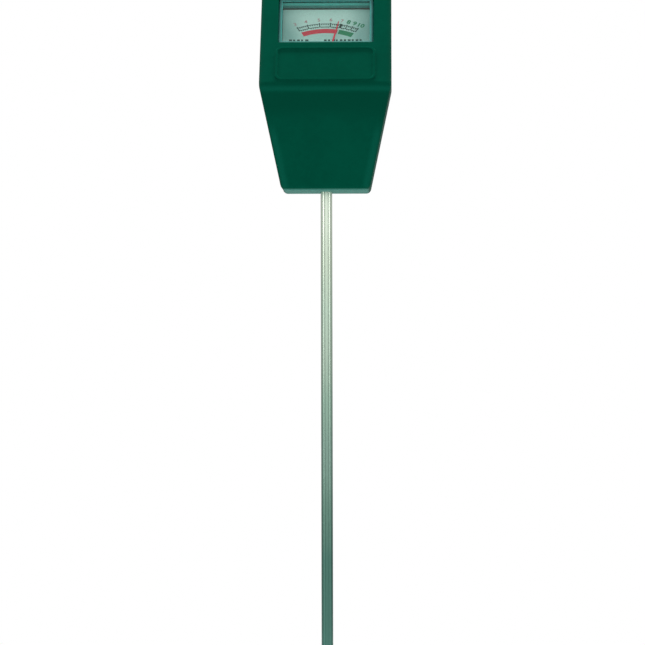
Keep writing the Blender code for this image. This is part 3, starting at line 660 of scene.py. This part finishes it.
def caseShell():
    made = solid(stack([caseRing(z, case["parting"]) for z in caseHeights()]), "caseShell")
    parting, half = case["parting"], case["wall"] / 2
    cuts = [("DIFFERENCE", caseHollow()), *badgeCuts(), windowCut()]
    for x, z, start in postPlaces():
        cuts.append(("UNION", alongY(bar(posts["radius"], start, parting - posts["short"]), x, z)))
    for x, z, start in postPlaces():
        pilot = bar(posts["pilot"], parting - posts["pilotDeep"], 0.0270, segments=16)
        cuts.append(("DIFFERENCE", alongY(pilot, x, z)))
    cuts.append(("UNION", bar(boss["radius"], half, boss["top"], segments=36)))
    cuts.append(("DIFFERENCE", bar(boss["hole"], -0.01, 0.03, segments=48)))
    for side in (-1, 1):
        at = (side * ears["across"], ears["up"])
        cuts.append(("UNION", onFace(bar(ears["radius"], ears["deep"], -half, at))))
        cuts.append(("DIFFERENCE", onFace(bar(ears["hole"], -0.0100, ears["holeTop"], at, 16))))
    carve(made, cuts)
    piece(made, "case", ["green_plastic"], ["front_housing"])


def backOutline(grow):
    # the case's outline seen from behind, drawn in by -grow
    side = case["topHalf"] + grow
    corners = [Vector((case["footHalf"] + grow, -grow)), Vector((side, case["ridge"])),
               Vector((side, case["height"] + grow))]
    radii = (case["footSide"] + grow, case["backBend"], case["topRound"] + grow)
    loop = corners + [Vector((-corner.x, corner.y)) for corner in reversed(corners)]
    points = []
    for k, corner in enumerate(loop):
        radius = max((radii + radii[::-1])[k], 0.0002)
        points += arc(corner, loop[k - 1], loop[(k + 1) % len(loop)], radius, 8)
    return points


def backShell():
    front, back, wall = case["parting"] + case["gap"], case["back"], case["wall"] + case["gap"]
    levels = [(0.0, front)] + [(-a, back - b) for a, b in quarter(case["backRound"])]
    made = solid(stack([[(x, y, z) for x, z in backOutline(grow)] for grow, y in levels]), "backShell")
    cuts = []
    for side in (-1, 1):
        heights = (rail["low"], case["ridge"], rail["high"])
        loop = [(side * (caseHalf(z) - wall), z) for z in heights]
        loop += [(side * (caseHalf(z) - wall - rail["thick"]), z) for z in reversed(heights)]
        cuts.append(("UNION", stack([[(x, y, z) for x, z in loop] for y in (rail["front"], rail["back"])])))
    deep, past = back - posts["wellDeep"], posts["past"]
    well = [(0, deep), (posts["well"], deep), (posts["well"], back - 0.0002), (posts["mouth"], back + 0.0001),
            (posts["mouth"], past), (0, past)]
    for x, z, start in postPlaces():
        cuts.append(("DIFFERENCE", alongY(bar(posts["clearance"], 0.0100, past, segments=24), x, z)))
        cuts.append(("DIFFERENCE", alongY(turned(well, 40), x, z)))
    carve(made, cuts)
    piece(made, "case", ["green_plastic"], ["rear_cover"])


coverScrew = {
    "head": 0.0022, "rise": 0.0008, "shank": 0.00085, "length": 0.0076, "seat": 0.0009,
    "slotHalf": 0.00022, "slotDeep": 0.00045, "slotFoot": 0.0007, "slotPast": 0.0004, "slotMouth": 0.0014,
    "turns": (20, 47),
}


def screwSlot(turn):
    # one tapering arm of the cross in the head
    wide, rise = coverScrew["slotHalf"], coverScrew["rise"]
    levels = ((rise - coverScrew["slotDeep"], coverScrew["slotFoot"]),
              (rise + coverScrew["slotPast"], coverScrew["slotMouth"]))
    arm = stack([[(a, b, height) for a, b in ((-w, -wide), (w, -wide), (w, wide), (-w, wide))]
                 for height, w in levels])
    arm.transform(Matrix.Rotation(turn, 4, "Z"))
    return arm


def coverScrews():
    head, rise, shank, length = (coverScrew[key] for key in ("head", "rise", "shank", "length"))
    profile = softened([(0, rise, 0), (head * 0.9, rise * 0.9, 0.0006), (head, 0, 0.0002), (shank, 0, 0),
                        (shank, -length + shank, 0.0002), (0, -length, 0)], 6)
    seat = Matrix.Translation((0, case["back"] - coverScrew["seat"], 0))
    first, step = coverScrew["turns"]
    for index, (x, z, start) in enumerate(postPlaces()):
        made = solid(alongY(turned([tuple(point) for point in profile], 40), x, z), f"coverScrew{index + 1}")
        made.data.transform(seat)
        cuts = []
        for across in (0, math.pi / 2):
            arm = alongY(screwSlot(math.radians(first + step * index) + across), x, z)
            arm.transform(seat)
            cuts.append(("DIFFERENCE", arm))
        carve(made, cuts)
        piece(made, "case", ["plated_steel"], [f"cover_screw_{index + 1}"])


def lensCover():
    # a clear box with a skirt held behind the window, open at the back
    skirt = {key: lens[key] for key in ("half", "low", "high", "radius")}
    box = {"half": lens["windowHalf"], "low": lens["windowLow"], "high": lens["windowHigh"],
           "radius": lens["windowRadius"]}
    wall, ease, shoulder, front, back = (lens[key] for key in ("wall", "ease", "shoulder", "front", "back"))
    outside = [(skirt, 0, back), (skirt, 0, shoulder - ease), (skirt, -ease, shoulder),
               (box, ease, shoulder), (box, 0, shoulder + ease)]
    walls = len(outside) - 1
    outside += [(box, -a, front - b) for a, b in quarter(lens["edge"], 18)]
    outside.append((box, -wall, front))
    rims = len(outside) - 1 - walls
    outside.append((box, -wall - lens["dish"][0], front - lens["dish"][1]))
    inside = [(box, -wall - ease / 2, front - wall), (box, -wall, front - wall - ease),
              (box, -wall, shoulder - wall), (skirt, -wall - ease / 2, shoulder - wall),
              (skirt, -wall, shoulder - wall - ease), (skirt, -wall, back)]
    bm = bmesh.new()
    outer, inner = ([[bm.verts.new(point) for point in liftRings(shape, [(grow, height)], 5)[0]]
                     for shape, grow, height in levels] for levels in (outside, inside))
    # the front-edge rounding takes the dark rim finish, a painted reflection
    for low, high, use in zip(outer, outer[1:], [2] * walls + [1] * rims + [2]):
        joinRings(bm, low, high, use)
    for low, high in zip(inner, inner[1:]):
        joinRings(bm, low, high, 2)
    joinRings(bm, outer[0], inner[-1], 2)
    bm.faces.new(outer[-1]).material_index = 0
    bm.faces.new(inner[0][::-1]).material_index = 0
    bmesh.ops.recalc_face_normals(bm, faces=bm.faces)
    made = solid(bm, "lensCover", faceFrame)
    piece(made, "case", ["pane", "rim", "clear_plastic"], ["meter_cover"])


plate = {
    "half": 0.0178, "low": 0.0195, "high": 0.0523, "radius": 0.0005, "thick": 0.0005, "ease": 0.00008,
    "movementHole": 0.0099, "screwAcross": 0.0155, "screwUp": 0.0220, "screwHole": 0.0007,
    "stopRadius": 0.0109, "stopPin": 0.00035, "stopHole": 0.00065, "stopAngles": (-29.5, 32.5),
}
scale = {
    "numbers": ((3, -25.5), (4, -16.4), (5, -5.9), (6, 3.7), (7, 12.6), (8, 18.1), (9, 23.2), (10, 28.4)),
    "firstAngle": -26.4, "lastAngle": 29.2, "outerArc": 0.0270, "innerArc": 0.0251, "line": 0.00028,
    "bandOuter": 0.0238, "bandInner": 0.0212, "bandFirst": -25.1, "bandSplit": 12.2, "bandLast": 28.3,
    "bandGap": 0.7, "ink": 0.00004, "inkSunk": 0.00001, "tickPast": 0.0006, "tick": 0.00040,
    "minorTick": 0.00034, "minorOuter": 0.0008, "minorInner": 0.0006, "mark": 12.9, "markWidth": 0.0010,
    "digits": 0.0294, "digitSize": 0.0026, "lastRed": 7, "greenGrow": 1.2, "greenBold": 0.00011,
    "redBold": 0.00003, "digitLean": 0.8,
    "dashTop": 0.01725, "dashLow": 0.0160, "dashFill": 0.68, "dashRadius": 0.00015,
    "dashes": ((-0.0150, -0.0068, (1.1, 0.8, 1.0, 0.7, 1.2)),  # start, end and the widths between them
               (-0.0008, 0.0152, (1.0, 0.8, 1.2, 0.7, 1.0, 0.9, 1.1, 0.8, 1.0, 0.8))),
}


def dialCard():
    front, back = dialFront, -0.0100
    levels = [(0, front - plate["thick"]), (0, front - plate["ease"]), (-plate["ease"], front)]
    made = solid(onFace(stack(liftRings(plate, levels, 3))), "dialCard")
    cuts = [("DIFFERENCE", onFace(bar(plate["movementHole"], back, 0, (0, pivotUp), 72)))]
    for side in (-1, 1):
        at = (side * plate["screwAcross"], plate["screwUp"])
        cuts.append(("DIFFERENCE", onFace(bar(plate["screwHole"], back, 0, at, 20))))
    radius = plate["stopRadius"]
    clearance = math.degrees(math.asin(2 * plate["stopPin"] / radius)) + 0.5
    low, high = plate["stopAngles"]
    for angle in (low - clearance, high + clearance):
        turn = math.radians(angle)
        at = (radius * math.sin(turn), pivotUp + radius * math.cos(turn))
        cuts.append(("DIFFERENCE", onFace(bar(plate["stopHole"], back, 0, at, 16))))
    carve(made, cuts)
    piece(made, "case", ["dial_white"], ["dial_plate"])


def dialPoint(radius, degrees, lift=0.0):
    turn = math.radians(degrees)
    return faceFrame @ Vector((radius * math.sin(turn), pivotUp + radius * math.cos(turn), dialFront + lift))


def inkStrip(points):
    # the rings of a thin raised print, from pairs of (near, far) polar places
    low, high = -scale["inkSunk"], scale["ink"]
    return [[dialPoint(*near, low), dialPoint(*far, low), dialPoint(*far, high), dialPoint(*near, high)]
            for near, far in points]


def sweep(inner, outer, start, end, step=1.2):
    count = max(1, math.ceil(abs(end - start) / step))
    angles = [start + (end - start) * k / count for k in range(count + 1)]
    return [((inner, angle), (outer, angle)) for angle in angles]


def inkPiece(name, solids, finish):
    piece(solid(stack(*solids), name), "case", [finish], flat=False)


def tick(angle, inner, outer, width):
    half = math.degrees(width / 2 / ((inner + outer) / 2))
    return [((inner, angle - half), (outer, angle - half)), ((inner, angle + half), (outer, angle + half))]


def dialPrint():
    line, inner, outer = scale["line"], scale["innerArc"], scale["outerArc"]
    first, last = scale["firstAngle"], scale["lastAngle"]
    arcs = [sweep(r - line / 2, r + line / 2, first, last) for r in (outer, inner)]
    inkPiece("scaleArcs", map(inkStrip, arcs), "blackInk")
    angles = [angle for value, angle in scale["numbers"]]
    ticks = [tick(angle, inner + line * 0.5, outer + scale["tickPast"], scale["tick"]) for angle in angles]
    for low, high in zip(angles, angles[1:]):
        parts = 5 if high - low > 7 else 3
        for k in range(1, parts):
            angle = low + (high - low) * k / parts
            for radius, length in ((outer, scale["minorOuter"]), (inner, scale["minorInner"])):
                ticks.append(tick(angle, radius - length, radius - line * 0.5, scale["minorTick"]))
    ticks.append(tick(scale["mark"], inner + line * 0.6, outer + scale["tickPast"], scale["markWidth"]))
    inkPiece("scaleTicks", map(inkStrip, ticks), "blackInk")
    near, far, split, gap = scale["bandInner"], scale["bandOuter"], scale["bandSplit"], scale["bandGap"]
    inkPiece("redBand", [inkStrip(sweep(near, far, scale["bandFirst"], split - gap))], "redInk")
    inkPiece("greenBand", [inkStrip(sweep(near, far, split + gap, scale["bandLast"]))], "greenInk")


def dialDashes():
    # plain dashes where the scale's two captions would stand
    y0, y1 = pivotUp + scale["dashLow"], pivotUp + scale["dashTop"]
    levels = [(0, dialFront - scale["inkSunk"]), (0, dialFront + scale["ink"])]
    blocks = []
    for start, end, widths in scale["dashes"]:
        pitch = (end - start) / len(widths)
        for k, width in enumerate(widths):
            left = start + k * pitch
            half = width * pitch * scale["dashFill"] / 2
            shape = {"half": half, "low": y0, "high": y1, "radius": scale["dashRadius"]}
            blocks.append([[faceFrame @ Vector((x + left + half, y, z)) for x, y, z in ring]
                           for ring in liftRings(shape, levels, 2)])
    inkPiece("dialDashes", blocks, "blackInk")


def dialDigits():
    for value, angle in scale["numbers"]:
        green = value > scale["lastRed"]
        curve = bpy.data.curves.new(f"digit{value}", "FONT")
        curve.body = str(value)
        curve.size = scale["digitSize"] * (scale["greenGrow"] if green else 1.0)
        curve.align_x, curve.align_y = "CENTER", "CENTER"
        curve.extrude = scale["ink"] / 2
        curve.offset = scale["greenBold"] if green else scale["redBold"]
        curve.resolution_u = 6
        text = bpy.data.objects.new(f"digit{value}", curve)
        bpy.context.scene.collection.objects.link(text)
        mesh = bpy.data.meshes.new_from_object(text.evaluated_get(bpy.context.evaluated_depsgraph_get()))
        bpy.data.objects.remove(text)
        turn = math.radians(angle)
        place = Vector((scale["digits"] * math.sin(turn), pivotUp + scale["digits"] * math.cos(turn),
                        dialFront + scale["ink"] / 2))
        lean = Matrix.Rotation(-turn * scale["digitLean"], 4, "Z")
        mesh.transform(faceFrame @ Matrix.Translation(place) @ lean)
        made = bpy.data.objects.new(f"scaleDigit{value}", mesh)
        bpy.context.scene.collection.objects.link(made)
        piece(made, "case", ["greenInk" if green else "paleInk"], flat=False)


needle = {
    "height": -0.0040, "low": -0.0069, "thickness": 0.00025, "ridge": 0.45, "steps": 6,
    "stations": (  # how far from the pivot, half width, and 1 where it has climbed to the dial's front
        (0.00195, 0.00085, 0), (0.0060, 0.00055, 0), (0.0088, 0.00036, 1), (0.0200, 0.00032, 1),
        (0.0278, 0.00020, 1)),
}


def needleBlade():
    # a blade with a soft ridge along its middle, turned to its resting place
    thick, stations, count = needle["thickness"], needle["stations"], needle["steps"]
    places = []
    for (y0, w0, s0), (y1, w1, s1) in zip(stations, stations[1:]):
        for k in range(count):
            t = k / count
            ease = t * t * (3 - 2 * t)
            places.append((y0 + (y1 - y0) * t, w0 + (w1 - w0) * t, s0 + (s1 - s0) * ease))
    places.append(stations[-1])
    rows = []
    for y, half, step in places:
        z = needle["low"] + (needle["height"] - needle["low"]) * step
        bevel = half * needle["ridge"]
        section = [(-half, -thick / 2), (half, -thick / 2), (half, 0), (bevel, thick * 0.42),
                   (0, thick * 0.5), (-bevel, thick * 0.42), (-half, 0)]
        rows.append([(x, y, z + dz) for x, dz in section])
    place = faceFrame @ Matrix.Translation((0, pivotUp, 0)) @ Matrix.Rotation(-restAngle, 4, "Z")
    made = solid(stack(rows), "needleBlade", place)
    piece(made, "works", ["red_paint"], ["pointer"], sharp=50, flat=False)


probe = {
    "radius": 0.00235, "bore": 0.00195, "top": 0.0170, "end": -0.1885, "tipStart": -0.1925, "taper": -0.2010,
    "tipEnd": -0.2080, "rod": 0.00095, "plug": 0.0018, "plugLong": 0.0040, "spigot": 0.0050, "ease": 0.0001,
    "blunt": 0.8, "bands": 60, "segments": 72,
}


def probeTube():
    r, bore, top, end, bands = (probe[key] for key in ("radius", "bore", "top", "end", "bands"))
    ladder = [(r, top - (top - end) * k / bands) for k in range(1, bands)]
    ring = [(bore, top), (r - 0.0002, top), (r, top - 0.0002), *ladder,
            (r, end + 0.00015), (r - 0.00015, end), (bore, end)]
    made = solid(turned(ring, probe["segments"], closed=True), "probeTube")
    piece(made, "case", ["probe"], ["probe_tube"], flat=False)


def probeInsulator():
    # a ring that shows between tube and tip, and a plug up inside the tube
    r, rod, plug, ease = (probe[key] for key in ("radius", "rod", "plug", "ease"))
    high, low = probe["end"] - case["gap"], probe["tipStart"] + case["gap"]
    top = probe["end"] + probe["plugLong"]
    ring = [(rod, top), (plug, top), (plug, high), (r - ease, high), (r, high - ease), (r, low + ease),
            (r - ease, low), (rod, low)]
    made = solid(turned(ring, probe["segments"], closed=True), "probeInsulator")
    piece(made, "case", ["white_nylon"], ["probe_insulator"], flat=False)


def probeTip():
    r, rod, start, steps = probe["radius"], probe["rod"], probe["tipStart"], 18
    top = start - probe["spigot"]
    profile = [(0, top), (rod, top), (rod, start), (r - probe["ease"], start), (r, start - probe["ease"])]
    for k in range(steps + 1):
        turn = math.pi / 2 * k / steps
        width = r * math.cos(turn) ** probe["blunt"] if k < steps else 0
        profile.append((width, probe["taper"] + (probe["tipEnd"] - probe["taper"]) * math.sin(turn)))
    made = solid(turned(profile, probe["segments"]), "probeTip")
    piece(made, "case", ["probe"], ["probe_tip"], flat=False)


caseShell()
backShell()
coverScrews()
print("case made")
lensCover()
dialCard()
dialPrint()
dialDashes()
dialDigits()
needleBlade()
print("meter face made")
probeTube()
probeInsulator()
probeTip()
print("probe made")

studio = {"whiteSky": 1.0, "ambient": 0.47, "floorGap": 0.0003, "floorRadius": 0.36}
lights = {
    "top": {"power": 33.0, "size": (1.2, 0.20), "at": (0.0, 0.69, 1.05), "aim": (0, 0, 0.07),
            "glossy": False},
    "high": {"power": 2.4, "size": (1.0, 0.30), "at": (0.0, -1.25, 0.95), "aim": (0, 0, 0.04)},
    "front": {"power": 5.4, "size": (2.0, 1.6), "at": (0.0, -1.9, -0.10), "aim": (0, 0, 0.0)},
    "stripLeft": {"power": 1.9, "size": (0.34, 1.20), "at": (-0.98, -0.52, 0.0), "aim": (0, 0, -0.05)},
    "stripRight": {"power": 1.7, "size": (0.34, 1.20), "at": (0.98, -0.55, 0.0), "aim": (0, 0, -0.05)},
}


def softbox(name, look):
    light = bpy.data.lights.new(name, "AREA")
    light.shape = "RECTANGLE"
    light.size, light.size_y = look["size"]
    light.energy = look["power"]
    made = bpy.data.objects.new(name, light)
    bpy.context.scene.collection.objects.link(made)
    made.location = look["at"]
    made.rotation_euler = (Vector(look["aim"]) - Vector(look["at"])).to_track_quat("-Z", "Y").to_euler()
    made.visible_camera = False
    made.visible_glossy = look.get("glossy", True)


def paleRoom():
    world = bpy.data.worlds.new("paleRoom")
    bpy.context.scene.world = world
    world.use_nodes = True
    pen = Wire(world.node_tree)
    seen = pen.node("ShaderNodeLightPath", output="Is Camera Ray")
    level = seen * (studio["whiteSky"] - studio["ambient"]) + studio["ambient"]
    background = world.node_tree.nodes["Background"]
    background.inputs["Color"].default_value = (1.0, 1.0, 1.0, 1.0)
    world.node_tree.links.new(level.socket, background.inputs["Strength"])


def paleFloor():
    # a round pale floor under the tip that fades into the white room
    bm = bmesh.new()
    segments, rings = 96, (0.04, 0.12, 0.22, studio["floorRadius"])
    height = cadBounds[0].z - studio["floorGap"]
    middle = bm.verts.new((0, 0, height))
    turns = [math.tau * k / segments for k in range(segments)]
    rows = [[bm.verts.new((r * math.cos(turn), r * math.sin(turn), height)) for turn in turns] for r in rings]
    for k in range(segments):
        n = (k + 1) % segments
        bm.faces.new((middle, rows[0][k], rows[0][n]))
        for low, high in zip(rows, rows[1:]):
            bm.faces.new((low[k], high[k], high[n], low[n]))
    floor = solid(bm, "paleFloor")
    made, shader, at = newFinish("palePaper", {"Roughness": 0.8, "Specular IOR Level": 0.2})
    flat = at.node("ShaderNodeVectorMath", {"operation": "MULTIPLY"}, {0: at, 1: (1, 1, 0)})
    distance = at.node("ShaderNodeVectorMath", {"operation": "LENGTH"}, {0: flat}, "Value")
    tooth = noise(at, 600, 2.0)
    drive(shader, {"Base Color": mixed(tooth, (0.92, 0.92, 0.915, 1.0), (0.96, 0.96, 0.955, 1.0)),
                   "Alpha": spread(distance, 0.10, studio["floorRadius"] - 0.01, 1.0, 0.0),
                   "Normal": bumped(tooth, 0.05, 0.0001)})
    floor.data.materials.append(made)


shot = {"distance": 1.62, "azimuth": 1.1, "elevation": -0.4, "roll": -0.13, "lens": 223.0,
        "target": (-0.0017, 0.0, -0.0529)}


def camera():
    made = bpy.data.objects.new("camera", bpy.data.cameras.new("camera"))
    bpy.context.scene.collection.objects.link(made)
    made.data.lens = shot["lens"]
    made.data.sensor_width = 36.0
    a, e = math.radians(shot["azimuth"]), math.radians(shot["elevation"])
    back = Vector((math.sin(a) * math.cos(e), -math.cos(a) * math.cos(e), math.sin(e)))
    made.location = Vector(shot["target"]) + back * shot["distance"]
    made.rotation_mode = "QUATERNION"
    roll = Matrix.Rotation(math.radians(shot["roll"]), 4, "Z").to_quaternion()
    made.rotation_quaternion = (-back).to_track_quat("-Z", "Y") @ roll
    made.data.clip_start, made.data.clip_end = 0.05, 20.0
    bpy.context.scene.camera = made


bpy.context.scene.view_settings.view_transform = "Standard"
paleRoom()
paleFloor()
for lightName, look in lights.items():
    softbox(lightName, look)
camera()
print("studio and camera set")
